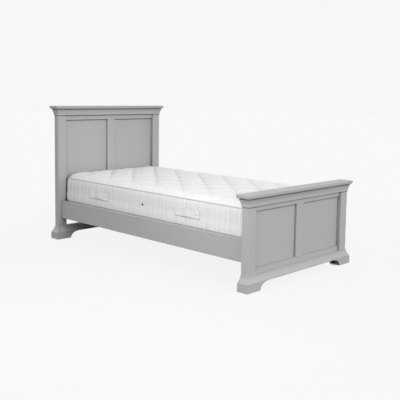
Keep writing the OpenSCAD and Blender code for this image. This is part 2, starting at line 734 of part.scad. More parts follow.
module mattress_base() mattress_place() color(ticking_white) translate([0, 0, mattress_z])
    linear_extrude(base_t) polygon(mattress_outline(mattress_draw_in + seam_step));

// Closed ring of piping in the step between a panel and the border
module piping_ring(z) {
    inset = mattress_draw_in + seam_step - pin_gap / 2 - piping_d / 2;
    hw = mattress_hw - mattress_corner_r;
    hl = mattress_hl - mattress_corner_r;
    r = mattress_corner_r - inset;
    translate([0, 0, z]) {
        for (side = [left, right]) {
            translate([side * (hw + r), 0, 0]) rotate([90, 0, 0])
                cylinder(h = 2 * hl, d = piping_d, center = true);
            translate([0, side * (hl + r), 0]) rotate([0, 90, 0])
                cylinder(h = 2 * hw, d = piping_d, center = true);
        }
        for (c = [[1, 1, 0], [-1, 1, 90], [-1, -1, 180], [1, -1, 270]])
            translate([c[0] * hw, c[1] * hl, 0]) rotate([0, 0, c[2]])
                rotate_extrude(angle = 90) translate([r, 0]) circle(d = piping_d);
    }
}

module mattress_piping() mattress_place() color(seam_grey) {
    piping_ring(seam_z);
    piping_ring(mattress_z + base_t / 2);
}

// Two stitched carrying straps on each long side
module mattress_handles() mattress_place() color(ticking_white)
    for (side = [left, right]) for (way = [foot_end, head_end])
        translate([
            side * (mattress_hw + pin_gap + handle_t / 2),
            handle_shift + way * handle_dist, mattress_z + handle_z
        ]) along_x(handle_t) polygon(round_rect(handle_l, handle_h, handle_h / 6, 4));

// Places on the middle of each long side, with +Z pointing out of the mattress
module vent_places() for (side = [left, right])
    translate([side * mattress_hw, 0, mattress_z + vent_z]) rotate([0, side * 90, 0]) children();

module mattress_vents() mattress_place() color(steel) vent_places()
    translate([0, 0, pin_gap]) rotate_extrude() polygon(concat(
        [[vent_hole_d / 2, 0]],
        arc_points([(vent_d + vent_hole_d) / 4, 0], (vent_d - vent_hole_d) / 4, 2, 180, 0, 6)
    ));

headboard_cap();
headboard_cornice_front();
headboard_cornice_back();
headboard_cornice_ends();
headboard_post(left);  // headboard_post_left
headboard_post(right);  // headboard_post_right
headboard_top_rail();
headboard_bottom_rail();
headboard_stretcher();
headboard_muntin();
headboard_panel(left);  // headboard_panel_left
headboard_panel(right);  // headboard_panel_right
headboard_plinth_front();
headboard_plinth_back();
headboard_plinth_ends();
footboard_cap();
footboard_cornice_front();
footboard_cornice_back();
footboard_cornice_ends();
footboard_post(left);  // footboard_post_left
footboard_post(right);  // footboard_post_right
footboard_top_rail();
footboard_bottom_rail();
footboard_muntin();
footboard_panel(left);  // footboard_panel_left
footboard_panel(right);  // footboard_panel_right
footboard_plinth_front();
footboard_plinth_back();
footboard_plinth_ends();
side_rail(left);  // side_rail_left
side_rail(right);  // side_rail_right
ledger(left);  // ledger_left
ledger(right);  // ledger_right
slat(1);  // slat_1
slat(2);  // slat_2
slat(3);  // slat_3
slat(4);  // slat_4
slat(5);  // slat_5
slat(6);  // slat_6
slat(7);  // slat_7
slat(8);  // slat_8
slat(9);  // slat_9
slat(10);  // slat_10
slat(11);  // slat_11
slat(12);  // slat_12
rail_studs();
stud_inserts();
half_moon_washers();
stud_nuts();
rail_dowels();
ledger_screws();
slat_screws();
mattress_top();
mattress_border();
mattress_core();
mattress_base();
mattress_piping();
mattress_handles();
mattress_vents();
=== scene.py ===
"""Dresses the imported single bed: painted woodwork, pine slats, steel fittings and a quilted mattress.

Metres, in the frame of the CAD model: +Y runs towards the headboard, +Z up, and the floor is at 0.
"""

import math

import bpy
import numpy as np
from mathutils import Matrix, Vector

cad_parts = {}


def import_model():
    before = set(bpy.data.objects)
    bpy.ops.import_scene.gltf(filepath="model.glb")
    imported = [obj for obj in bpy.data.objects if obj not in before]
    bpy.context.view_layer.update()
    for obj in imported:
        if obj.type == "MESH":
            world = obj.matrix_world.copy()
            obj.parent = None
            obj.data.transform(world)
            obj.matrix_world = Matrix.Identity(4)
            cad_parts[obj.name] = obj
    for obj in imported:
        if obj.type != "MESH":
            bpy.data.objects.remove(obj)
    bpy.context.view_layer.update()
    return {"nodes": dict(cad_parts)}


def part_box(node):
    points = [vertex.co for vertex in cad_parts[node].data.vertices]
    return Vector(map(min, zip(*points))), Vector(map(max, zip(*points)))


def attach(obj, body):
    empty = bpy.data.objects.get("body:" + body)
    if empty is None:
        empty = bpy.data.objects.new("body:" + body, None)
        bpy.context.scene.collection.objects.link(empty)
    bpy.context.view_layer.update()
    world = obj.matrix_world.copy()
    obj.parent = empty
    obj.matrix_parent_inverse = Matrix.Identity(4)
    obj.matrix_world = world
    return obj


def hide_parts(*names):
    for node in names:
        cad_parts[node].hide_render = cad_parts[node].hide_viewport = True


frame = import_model()
nodes = frame["nodes"]
scene = bpy.context.scene

# Places of the mattress's pieces, from their CAD solids
border_lo, border_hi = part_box("mattress_border")
base_lo, base_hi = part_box("mattress_base")
pipe_lo, pipe_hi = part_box("mattress_piping")
handle_lo, handle_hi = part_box("mattress_handles")
vent_lo, vent_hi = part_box("mattress_vents")
MID_Y = (border_lo.y + border_hi.y) / 2
HALF_W = (border_hi.x - border_lo.x) / 2
HALF_L = (border_hi.y - border_lo.y) / 2

# The mattress's plan, its piping, and how far the border draws in at the seams and swells low down
CORNER_R = 0.045
PIPE_R, PIPE_INSET = 0.0045, 0.01255
DRAW_IN, LOW_BULGE = 0.008, 0.0045
SEAM_Z = pipe_hi.z - PIPE_R
LOW_SEAM_Z = pipe_lo.z + PIPE_R

# The quilted top: a crown that rises from the edge, a wide dome, and diamond pillows
TOP_INSET = DRAW_IN + 2 * PIPE_R + 0.0001
TOP_HALF_W, TOP_HALF_L = HALF_W - TOP_INSET, HALF_L - TOP_INSET
EDGE_Z = SEAM_Z + 0.00455
CROWN, CROWN_RUN = 0.036, 0.050
DOME_SHARE, DOME_RUN = 0.2, 0.400
PILLOW, PILLOW_EDGE_SHARE = 0.011, 0.35
PILLOWS_ACROSS, PILLOWS_ALONG = 4, 7

# The cloth simulation of the top: the furthest that a point may move, and what blows it up
PUFF_CAP, PUFF_PRESSURE, PUFF_SLACK = 0.003, 4.0, 0.02
PUFF_FRAMES, WEIGHT_STEPS = 20, 10

# The border's puckers at the piping, and how far its inner skin stands in
GATHER, GATHER_FADE, GATHER_START = 0.0011, 9, 25
LINING_INSET = 0.0135
PUCKER_SEED, FULL_TURN = 5, 6.283

# The blocks inside the mattress
CORE_INSET, CORE_GAP = 0.0142, 0.0003
BLOCK_EASE = ((0.006, 0.0), (0.0015, 0.0015), (0.0, 0.005))

# The four carrying straps, each as (side, low corner, high corner), and their threads
HANDLE_L = 0.230
HANDLES = [(side, Vector((0, start, handle_lo.z)), Vector((0, start + HANDLE_L, handle_hi.z)))
           for side in (-1, 1) for start in (handle_lo.y, handle_hi.y - HANDLE_L)]
STRAP_GAP, STRAP_HALF_T, STRAP_FACE = 0.0004, 0.0014, 0.0030
STRAP_FLAT, STRAP_LIFT, STRAP_ARCH = 0.050, 0.0065, 0.0050
STITCH_MARGIN, STITCH_RUN = 0.004, 0.042
THREAD_R, THREAD_FLATNESS = 0.0024, 0.6
HEM_HEIGHT = (handle_hi.z - handle_lo.z) / 2 - 0.002

# The gauze behind a vent's hole, as (radius, distance out of the border)
GAUZE_RINGS = ((0.0044, -0.0030), (0.0044, 0.0004), (0.0030, 0.0008), (0.0015, 0.0010))

# How finely the pieces are meshed
PLAN_STEP, BLOCK_STEP, TOP_STEP = 0.006, 0.02, 0.0075
ARC_STEPS, PIPE_SIDES, STRAP_SIDES, THREAD_SIDES, GAUZE_SIDES = 14, 12, 12, 6, 24
STRAP_STEPS, HEM_STEPS, STITCH_STEPS = 60, 48, 8


# Meshes
def build(name, verts, faces, uvs=None, material=None, smooth=True):
    """A mesh object from arrays. uvs holds one (u, v) for each vertex."""
    mesh = bpy.data.meshes.new(name)
    mesh.from_pydata([tuple(v) for v in verts], [], [tuple(int(i) for i in face) for face in faces])
    if uvs is not None:
        layer = mesh.uv_layers.new(name="run")
        index = np.zeros(len(mesh.loops), np.int32)
        mesh.loops.foreach_get("vertex_index", index)
        layer.data.foreach_set("uv", np.asarray(uvs, np.float32)[index].ravel())
    mesh.polygons.foreach_set("use_smooth", [smooth] * len(mesh.polygons))
    mesh.update()
    obj = bpy.data.objects.new(name, mesh)
    scene.collection.objects.link(obj)
    if material:
        mesh.materials.append(material)
    return obj


def join_parts(parts):
    """Vertices, faces and uvs of several parts as those of one mesh."""
    faces, start = [], 0
    for part_verts, part_faces, _ in parts:
        faces += [tuple(int(i) + start for i in face) for face in part_faces]
        start += len(part_verts)
    return np.concatenate([part[0] for part in parts]), faces, np.concatenate([part[2] for part in parts])


def quads(rows, columns, wrap_rows=False, wrap_columns=False):
    """Faces of a grid whose vertices run along each row in turn."""
    j, i = np.meshgrid(
        np.arange(rows if wrap_rows else rows - 1),
        np.arange(columns if wrap_columns else columns - 1), indexing="ij")
    a = j * columns + i
    b = j * columns + (i + 1) % columns
    c = ((j + 1) % rows) * columns + (i + 1) % columns
    d = ((j + 1) % rows) * columns + i
    return np.stack([a, b, c, d], -1).reshape(-1, 4)


def tube(rows, columns, flip_ends=False):
    """Faces of a tube through closed rows, with one face over the first row and one over the last."""
    faces = [tuple(face) for face in quads(rows, columns, wrap_columns=True)]
    first, last = tuple(range(columns)), tuple(range((rows - 1) * columns, rows * columns))
    return faces + ([first, last[::-1]] if flip_ends else [first[::-1], last])


def outline(inset, step=PLAN_STEP):
    """Points of the mattress's plan drawn in by inset, counterclockwise from the middle of the foot end."""
    r = CORNER_R - inset
    half_w, half_l = HALF_W - inset, HALF_L - inset
    points = []

    def line(a, b, steps):
        for k in range(steps):
            points.append((a[0] + (b[0] - a[0]) * k / steps, a[1] + (b[1] - a[1]) * k / steps))

    def turn(centre_x, centre_y, start):
        for k in range(ARC_STEPS):
            angle = math.radians(start + 90 * k / ARC_STEPS)
            points.append((centre_x + r * math.cos(angle), centre_y + r * math.sin(angle)))

    across = max(2, round((HALF_W - CORNER_R) / step))
    along = max(2, round(2 * (HALF_L - CORNER_R) / step))
    line((0, -half_l), (half_w - r, -half_l), across)
    turn(half_w - r, -half_l + r, -90)
    line((half_w, -half_l + r), (half_w, half_l - r), along)
    turn(half_w - r, half_l - r, 0)
    line((half_w - r, half_l), (-half_w + r, half_l), 2 * across)
    turn(-half_w + r, half_l - r, 90)
    line((-half_w, half_l - r), (-half_w, -half_l + r), along)
    turn(-half_w + r, -half_l + r, 180)
    line((-half_w + r, -half_l), (0, -half_l), across)
    return np.array(points)


def outward(plan):
    """Unit vectors that point out of a closed counterclockwise plan, at each of its points."""
    ahead = np.roll(plan, -1, 0) - np.roll(plan, 1, 0)
    ahead /= np.linalg.norm(ahead, axis=1)[:, None]
    return np.column_stack([ahead[:, 1], -ahead[:, 0]])


def at_height(plan, z):
    """The plan's points in their place on the bed, at one height."""
    return np.column_stack([plan[:, 0], plan[:, 1] + MID_Y, np.full(len(plan), z)])


def run_length(points):
    """Distance along a line of points to each of them."""
    gaps = np.linalg.norm(np.diff(points, axis=0), axis=1)
    return np.concatenate([[0], np.cumsum(gaps)])


def ring_mesh(name, rings, runs, heights, material):
    """A closed skin through stacked rings of equal count, first to last and back to the first."""
    count = len(rings[0])
    verts = np.concatenate([np.vstack([ring, ring[:1]]) for ring in rings])
    u = np.append(runs, runs[-1] + np.linalg.norm(rings[0][0] - rings[0][-1]))
    uvs = np.concatenate([np.stack([u, np.full(count + 1, height)], -1) for height in heights])
    return build(name, verts, quads(len(rings), count + 1, wrap_rows=True), uvs, material)


# Materials
BEVEL_SAMPLES, SHADE_SAMPLES = 4, 8
# How far the painted shade reaches: in creases, under the bed, and where cloth lies close to other things
CREASE_REACH, CREASE_TILT, UNDER_BED_SHADE_REACH, CLOTH_SHADE_REACH = 0.011, 0.9, 0.80, 0.014
WORN_R, SAWN_R, TURNED_R = 0.0012, 0.0015, 0.0004
PAINT = (0.436, 0.440, 0.425)
PINE_EARLY, PINE_LATE = (0.62, 0.43, 0.24), (0.74, 0.56, 0.35)
PINE_FIBRE, PINE_KNOT = (0.50, 0.32, 0.17), (0.25, 0.13, 0.06)
ZINC, BLACK_NICKEL = (0.60, 0.61, 0.64), (0.13, 0.13, 0.135)
DAMASK_GROUND, DAMASK_FIGURE, DAMASK_FUZZ = (0.842, 0.844, 0.842), (0.862, 0.863, 0.862), (0.78, 0.78, 0.775)
# Greys of painted shade in the quilted top's valleys and along its stitch lines
DAMASK_VALLEY_SHADE, DAMASK_SEAM_SHADE = (0.66, 0.67, 0.68), (0.46, 0.47, 0.48)
DAMASK_PITCH, TICKING_PITCH, THREAD_PITCH = 0.0016, 0.0014, 0.0015
TICKING_LIGHT, TICKING_DARK, TICKING_RIB = (1.0, 1.0, 0.997), (0.99, 1.0, 1.02), (0.95, 0.95, 0.945)
PIPING_TAPE = (0.72, 0.72, 0.725)
# The grey thread also stands as painted shade under the straps' lower edges
WHITE_THREAD, SHADE_GREY_THREAD = (0.97, 0.97, 0.965), (0.50, 0.50, 0.505)
# The gauze's near black is painted shade for the space behind each vent hole
SHADE_DARK_GAUZE, CORE_FELT = (0.05, 0.05, 0.052), (0.72, 0.70, 0.62)

# One repeat of the border's stripes: soft grey bands as ramp stops, then the ribs and the shades beside
# them as (centre, half width, level)
RIB_REPEAT, RIB_START = 0.290, 0.31
BANDS = [(0.0, 0.1), (0.06, 0.5), (0.15, 0.25), (0.20, 0.7), (0.31, 0.45), (0.36, 0.1), (0.44, 0.8),
         (0.55, 0.35), (0.60, 0.65), (0.67, 0.2), (0.76, 0.9), (0.86, 0.5), (1.0, 0.1)]
RIBS = [(0.03, 0.009, 1.0), (0.225, 0.005, 0.6), (0.36, 0.010, 1.0),
        (0.56, 0.005, 0.5), (0.67, 0.009, 0.9), (0.87, 0.006, 0.6)]
RIB_SHADES = [(0.055, 0.007, 1.0), (0.385, 0.007, 1.0), (0.694, 0.007, 0.9), (0.885, 0.004, 0.5)]


class Net:
    """The nodes of a new material or world, added and wired by name."""

    def __init__(self, owner):
        owner.use_nodes = True
        self.owner = owner
        self.tree = owner.node_tree
        self.shader = self.tree.nodes.get("Principled BSDF")

    def add(self, kind, inputs=None, **settings):
        node = self.tree.nodes.new("ShaderNode" + kind)
        for key, value in settings.items():
            setattr(node, key, value)
        for key, value in (inputs or {}).items():
            self.put(node.inputs[key], value)
        return node

    def put(self, socket, value):
        if isinstance(value, bpy.types.NodeSocket):
            self.tree.links.new(value, socket)
        elif isinstance(value, bpy.types.Node):
            self.tree.links.new(value.outputs[0], socket)
        else:
            socket.default_value = value

    def math(self, operation, a, b=0.0, clamp=False):
        return self.add("Math", {0: a, 1: b}, operation=operation, use_clamp=clamp).outputs[0]

    def line(self, value, slope, start):
        """The value times slope plus start."""
        return self.add("Math", {0: value, 1: slope, 2: start}, operation="MULTIPLY_ADD").outputs[0]

    def coords(self, scale=(1, 1, 1), kind="Object"):
        place = self.add("TexCoord").outputs[kind]
        return self.add("Mapping", {"Vector": place, "Scale": scale}).outputs[0]

    def noise(self, where, scale, detail=2.0, rough=0.5, distortion=0.0):
        return self.add("TexNoise", {"Vector": where, "Scale": scale, "Detail": detail,
                                     "Roughness": rough, "Distortion": distortion}).outputs[0]

    def ramp(self, value, stops):
        """A ramp through (place, level) stops."""
        node = self.add("ValToRGB", {"Fac": value})
        bar = node.color_ramp.elements
        while len(bar) < len(stops):
            bar.new(0.5)
        for element, (place, level) in zip(bar, stops):
            element.position = place
            element.color = (level, level, level, 1)
        return node.outputs[0]

    def blend(self, share, a, b):
        node = self.add("Mix", data_type="RGBA", blend_type="MIX")
        self.put(node.inputs[0], share)
        for socket, value in ((node.inputs[6], a), (node.inputs[7], b)):
            self.put(socket, (*value, 1) if isinstance(value, tuple) else value)
        return node.outputs[2]

    def bump(self, height, distance, strength, under=None):
        inputs = {"Height": height, "Distance": distance, "Strength": strength}
        if under is not None:
            inputs["Normal"] = under
        return self.add("Bump", inputs).outputs[0]

    def eased(self, radius):
        """The surface's normal, rounded over its edges."""
        return self.add("Bevel", {"Radius": radius}, samples=BEVEL_SAMPLES).outputs[0]

    def openness(self, reach, normal=None):
        """How open the space within reach is, 0 to 1, about the surface's normal or a given one."""
        inputs = {"Distance": reach}
        if normal is not None:
            inputs["Normal"] = normal
        return self.add("AmbientOcclusion", inputs, samples=SHADE_SAMPLES).outputs["AO"]

    def tilted(self, normal, rise):
        """A normal turned up, or down by a rise below 0."""
        raised = self.add("VectorMath", {0: normal, 1: (0.0, 0.0, rise)}, operation="ADD")
        return self.add("VectorMath", {0: raised}, operation="NORMALIZE")

    def creases(self):
        """Painted shade in creases and a painted highlight on outer edges, as masks 0 to 1, and the eased
        normal.

        The painted shade gathers under overhangs and under the bed, less so in upright corners and hardly on
        ledges.
        """
        eased = self.eased(WORN_R)
        flat = self.add("NewGeometry").outputs["Normal"]
        above, below = [self.openness(CREASE_REACH, self.tilted(flat, rise))
                        for rise in (CREASE_TILT, -CREASE_TILT)]
        turn = self.add("VectorMath", {0: eased, 1: flat}, operation="DOT_PRODUCT").outputs["Value"]
        facing_up = self.math("MAXIMUM", self.add("SeparateXYZ", {0: flat}).outputs[2], 0.0)
        # Painted shade under overhangs, in corners and under the bed, and a painted highlight along outer
        # edges
        over = self.ramp(self.math("SUBTRACT", below, above), [(0.12, 0.0), (0.42, 1.0)])
        corner = self.ramp(above, [(0.32, 1.0), (0.46, 0.7), (0.56, 0.26), (0.84, 0.0)])
        corner = self.math("MULTIPLY", self.math("MAXIMUM", over, corner),
                           self.math("SUBTRACT", 1.0, self.math("MULTIPLY", facing_up, 0.8)))
        under_bed_shade = self.ramp(self.openness(UNDER_BED_SHADE_REACH), [(0.15, 0.96), (0.34, 0.0)])
        corner = self.math("MAXIMUM", corner, under_bed_shade)
        edge = self.math("MULTIPLY", self.ramp(turn, [(0.82, 1.0), (0.985, 0.0)]),
                         self.ramp(above, [(0.75, 0.0), (0.95, 1.0)]))
        return corner, edge, eased

    def seen(self):
        """1 for what the camera sees, straight or by a mirror or glass, and 0 for what only gives light."""
        path = self.add("LightPath")
        bent = self.math("MAXIMUM", path.outputs["Is Glossy Ray"], path.outputs["Is Transmission Ray"])
        return self.math("MAXIMUM", path.outputs["Is Camera Ray"], bent)

    def finish(self, **values):
        """Sets the shader's sockets, named in lower case with underscores, and returns the material."""
        for key, value in values.items():
            self.put(self.shader.inputs[key.replace("_", " ").title().replace("Ior", "IOR")], value)
        return self.owner


def material_net(name):
    return Net(bpy.data.materials.new(name))


def times(tint, share):
    """A colour made darker or lighter."""
    return tuple(c * share for c in tint)


def drawn_out(axis, along, across):
    """A pattern's scale along one axis and across it."""
    scale = [across] * 3
    scale[axis] = along
    return tuple(scale)


def paint(axis):
    """Satin paint on wood, with the grain faintly showing along one axis, painted shade in creases and a
    painted highlight on edges.
    """
    net = material_net("grey_paint_" + "xyz"[axis])
    grain = net.noise(net.coords(drawn_out(axis, 2.2, 90)), scale=1.0, detail=4, rough=0.6, distortion=0.4)
    cloud = net.noise(net.coords(), scale=3.1, detail=3)
    peel = net.noise(net.coords(), scale=420.0)
    colour = net.blend(cloud, times(PAINT, 0.965), times(PAINT, 1.03))
    colour = net.blend(net.ramp(grain, [(0.35, 0.0), (0.75, 0.10)]), colour, times(PAINT, 0.9))
    corner, edge, eased = net.creases()
    # Painted shade in creases and under the bed, then a painted highlight along outer edges
    colour = net.blend(net.math("MULTIPLY", corner, 0.92), colour, times(PAINT, 0.10))
    colour = net.blend(net.math("MULTIPLY", edge, 0.45), colour, times(PAINT, 1.25))
    normal = net.bump(grain, 0.00035, 0.5, eased)
    normal = net.bump(peel, 0.00012, 0.35, normal)
    return net.finish(base_color=colour, roughness=net.ramp(cloud, [(0.3, 0.40), (0.7, 0.48)]),
                      normal=normal, specular_ior_level=0.25)


def pine(axis):
    """Planed, unfinished pine with growth rings and a few knots, its grain along one level axis."""
    net = material_net("pine_" + "xyz"[axis])
    rings = net.add("TexWave", {"Vector": net.coords(drawn_out(axis, 0.9, 14)), "Scale": 1.6,
                                "Distortion": 7.0, "Detail": 3.0, "Detail Scale": 0.8},
                    wave_type="BANDS", bands_direction="Z").outputs[1]
    fibre = net.noise(net.coords(drawn_out(axis, 9, 300)), scale=1.0, detail=3, rough=0.6)
    knot = net.add("TexVoronoi", {"Vector": net.coords(drawn_out(axis, 3, 7)), "Scale": 1.0})
    knot = net.ramp(knot.outputs["Distance"], [(0.03, 1.0), (0.09, 0.0)])
    colour = net.blend(rings, PINE_EARLY, PINE_LATE)
    colour = net.blend(net.ramp(fibre, [(0.3, 0.35), (0.7, 0.0)]), colour, PINE_FIBRE)
    colour = net.blend(knot, colour, PINE_KNOT)
    return net.finish(base_color=colour, roughness=net.ramp(fibre, [(0.3, 0.55), (0.7, 0.68)]),
                      normal=net.bump(fibre, 0.0003, 0.5, net.eased(SAWN_R)))


def steel(name, tint, rough):
    """Plated steel with fine turning marks."""
    net = material_net(name)
    marks = net.noise(net.coords((700, 700, 90)), scale=1.0)
    cloud = net.noise(net.coords(), scale=60.0)
    return net.finish(base_color=net.blend(cloud, times(tint, 0.88), tint), metallic=1.0,
                      roughness=net.ramp(marks, [(0.3, rough - 0.07), (0.7, rough + 0.08)]),
                      normal=net.bump(marks, 0.00005, 0.4, net.eased(TURNED_R)))


def weave(net, where, pitch):
    """Height of a plain weave with this pitch, 0 to 1."""
    part = net.add("SeparateXYZ", {0: where})
    warp = net.math("SINE", net.math("MULTIPLY", part.outputs[0], math.pi / pitch))
    weft = net.math("SINE", net.math("MULTIPLY", part.outputs[1], math.pi / pitch))
    return net.line(net.math("MULTIPLY", warp, weft), 0.5, 0.5)


def damask():
    """White damask of the quilted top: woven scrolls, a fine weave, and painted shade in the stitched
    valleys.
    """
    net = material_net("quilted_damask")
    place = net.coords()
    scroll = net.add("TexVoronoi", {"Vector": place, "Scale": 15.0, "Randomness": 0.75},
                     feature="SMOOTH_F1").outputs["Distance"]
    swirl = net.math("ADD", scroll, net.noise(place, scale=9.0, detail=1))
    figure = net.ramp(net.math("SINE", net.math("MULTIPLY", swirl, 24.0)), [(0.35, 0.0), (0.60, 1.0)])
    cloth = weave(net, place, DAMASK_PITCH)
    fuzz = net.noise(place, scale=260.0)

    part = net.add("SeparateXYZ", {0: place})
    x, y = part.outputs[0], net.math("SUBTRACT", part.outputs[1], MID_Y)
    across = net.math("MULTIPLY", x, math.pi * PILLOWS_ACROSS / (2 * TOP_HALF_W))
    along = net.math("MULTIPLY", y, math.pi * PILLOWS_ALONG / (2 * TOP_HALF_L))
    one = net.math("ABSOLUTE", net.math("COSINE", net.math("ADD", across, along)))
    other = net.math("ABSOLUTE", net.math("COSINE", net.math("SUBTRACT", across, along)))
    inward = net.math("MINIMUM",
                      net.math("SUBTRACT", TOP_HALF_W, net.math("ABSOLUTE", x)),
                      net.math("SUBTRACT", TOP_HALF_L, net.math("ABSOLUTE", y)))
    inward = net.ramp(net.math("MULTIPLY", inward, 2.0), [(0.04, 0.15), (0.50, 1.0)])
    # Painted shade along the stitch lines and in the valleys between pillows, stronger in one family of
    # valleys, fading towards the edge
    seam = net.ramp(net.math("MINIMUM", one, other), [(0.03, 0.16), (0.11, 0.0)])
    valley_shade = net.math("MAXIMUM", net.ramp(one, [(0.05, 0.56), (0.70, 0.0)]),
                      net.ramp(other, [(0.05, 0.08), (0.40, 0.0)]))

    colour = net.blend(figure, DAMASK_GROUND, DAMASK_FIGURE)
    colour = net.blend(net.math("MULTIPLY", valley_shade, inward), colour, DAMASK_VALLEY_SHADE)
    colour = net.blend(net.math("MULTIPLY", seam, inward), colour, DAMASK_SEAM_SHADE)
    colour = net.blend(net.ramp(fuzz, [(0.35, 0.10), (0.65, 0.0)]), colour, DAMASK_FUZZ)
    normal = net.bump(figure, 0.0004, 0.4)
    normal = net.bump(cloth, 0.0003, 0.35, normal)
    return net.finish(base_color=colour, roughness=net.ramp(figure, [(0.0, 0.78), (1.0, 0.60)]),
                      normal=normal, sheen_weight=0.12, sheen_roughness=0.4, specular_ior_level=0.3)


def stripes(places):
    """Ramp stops for stripes, each a (centre, half width, level), with 0 between them."""
    stops = [(0.0, 0.0)]
    for centre, half, level in places:
        stops += [(centre - 1.5 * half, 0.0), (centre - half, level),
                  (centre + half, level), (centre + 1.5 * half, 0.0)]
    return [*stops, (1.0, 0.0)]


def ticking(name, level, ribbed=True):
    """Woven ticking: upright white ribs at uneven distances with painted shade along one side, over soft grey
    bands, and painted shade where it lies close to other things.
    """
    net = material_net(name)
    place = net.coords(kind="UV")
    run = net.add("SeparateXYZ", {0: place}).outputs[0]
    cloth = weave(net, place, TICKING_PITCH)
    fuzz = net.noise(place, scale=300.0)
    streak = net.noise(net.coords((34, 0.5, 1), "UV"), scale=1.0)
    light = times(TICKING_LIGHT, level)
    dark = times(times(TICKING_DARK, level), 0.82)
    colour = net.blend(net.ramp(streak, [(0.36, 0.40), (0.62, 0.0)]), light, dark)
    normal = net.bump(cloth, 0.0003, 0.35)
    if ribbed:
        turn = net.math("FRACT", net.math("ADD", net.math("DIVIDE", run, RIB_REPEAT), RIB_START))
        colour = net.blend(net.math("MULTIPLY", net.ramp(turn, BANDS), 0.34), colour, dark)
        rib = net.ramp(turn, stripes(RIBS))
        shade = net.ramp(turn, stripes(RIB_SHADES))
        colour = net.blend(net.math("MULTIPLY", shade, 0.45), colour, times(light, 0.62))
        colour = net.blend(net.math("MULTIPLY", rib, 0.9), colour, TICKING_RIB)
        normal = net.bump(rib, 0.0016, 0.6, normal)
    colour = net.blend(net.ramp(fuzz, [(0.35, 0.10), (0.65, 0.0)]), colour, dark)
    # Painted shade where the cloth lies close to other things, such as under the straps and beside the side
    # rail
    bare = net.openness(CLOTH_SHADE_REACH)
    colour = net.blend(net.ramp(bare, [(0.30, 0.55), (0.85, 0.0)]), colour, times(light, 0.35))
    return net.finish(base_color=colour, roughness=net.ramp(fuzz, [(0.3, 0.70), (0.7, 0.84)]),
                      normal=normal, sheen_weight=0.10, sheen_roughness=0.4, specular_ior_level=0.3)


def tape(name, tint, pitch=0.004):
    """Woven tape or twisted thread, with slanting strands."""
    net = material_net(name)
    place = net.coords(kind="UV")
    part = net.add("SeparateXYZ", {0: place})
    slant = net.math("ADD", net.math("DIVIDE", part.outputs[0], pitch),
                     net.math("DIVIDE", part.outputs[1], pitch))
    strand = net.math("ABSOLUTE", net.math("SINE", net.math("MULTIPLY", slant, math.pi)))
    fuzz = net.noise(place, scale=500.0)
    bright = tuple(min(1, c) for c in times(tint, 1.12))
    colour = net.blend(net.ramp(strand, [(0.0, 1.0), (0.5, 0.0)]), tint, times(tint, 0.72))
    colour = net.blend(net.math("MULTIPLY", fuzz, 0.25), colour, bright)
    return net.finish(base_color=colour, roughness=net.ramp(fuzz, [(0.3, 0.62), (0.7, 0.8)]),
                      normal=net.bump(strand, 0.0006, 0.6), sheen_weight=0.08, specular_ior_level=0.3)


def felt(name, tint):
    """Matted fibres in faint level layers."""
    net = material_net(name)
    fibres = net.noise(net.coords(), scale=240.0, detail=4, rough=0.7)
    layer = net.noise(net.coords((2, 2, 70)), scale=1.0)
    colour = net.blend(fibres, times(tint, 0.8), tint)
    colour = net.blend(net.math("MULTIPLY", layer, 0.4), colour, times(tint, 0.6))
    return net.finish(base_color=colour, roughness=net.ramp(fibres, [(0.3, 0.85), (0.7, 0.95)]),
                      normal=net.bump(fibres, 0.001, 0.5), sheen_weight=0.2)


paints = [paint(axis) for axis in range(3)]
pine_across, pine_along = pine(0), pine(1)
zinc = steel("zinc_plate", ZINC, rough=0.38)
nickel = steel("black_nickel", BLACK_NICKEL, rough=0.42)
top_cloth = damask()
border_cloth = ticking("striped_ticking", 0.84)
strap_cloth = ticking("strap_webbing", 0.86, ribbed=False)
base_cloth = ticking("base_weave", 0.72, ribbed=False)
pipe_cloth = tape("seam_tape", PIPING_TAPE)
thread_cloth = tape("white_thread", WHITE_THREAD, THREAD_PITCH)
shaded_hem_cloth = tape("grey_thread", SHADE_GREY_THREAD, THREAD_PITCH)
gauze = felt("vent_gauze", SHADE_DARK_GAUZE)
core_felt = felt("felt_and_foam", CORE_FELT)

# Woodwork, fittings and vent eyelets keep their CAD shapes
FITTINGS = ("rail_studs", "stud_", "half_moon", "ledger_screws", "slat_screws")
PAINTED_ALONG_Y = ("side_rail", "_ends")
PAINTED_ALONG_Z = ("_post", "_muntin", "_panel")


def finish_of(name):
    """The material of a CAD node of the frame, its grain along the piece."""
    if name.startswith(FITTINGS):
        return zinc
    if name.startswith("slat_"):
        return pine_across
    if name.startswith("ledger_") or name == "rail_dowels":
        return pine_along
    if any(part in name for part in PAINTED_ALONG_Y):
        return paints[1]
    if any(part in name for part in PAINTED_ALONG_Z):
        return paints[2]
    return paints[0]


def coat(node, material):
    node.data.materials.clear()
    node.data.materials.append(material)


for name, node in nodes.items():
    if not name.startswith("mattress_"):
        coat(node, finish_of(name))
coat(nodes["mattress_vents"], nickel)


# Mattress
def in_corner(x, y, r):
    """Moves points of the corner squares of the top's rectangle onto its rounded corners."""
    dx, dy = np.abs(x) - TOP_HALF_W + r, np.abs(y) - TOP_HALF_L + r
    inside = (dx > 0) & (dy > 0)
    pull = np.where(inside, np.maximum(dx, dy) / np.maximum(np.hypot(dx, dy), 1e-9), 1)
    return (np.where(inside, np.sign(x) * (TOP_HALF_W - r + dx * pull), x),
            np.where(inside, np.sign(y) * (TOP_HALF_L - r + dy * pull), y))


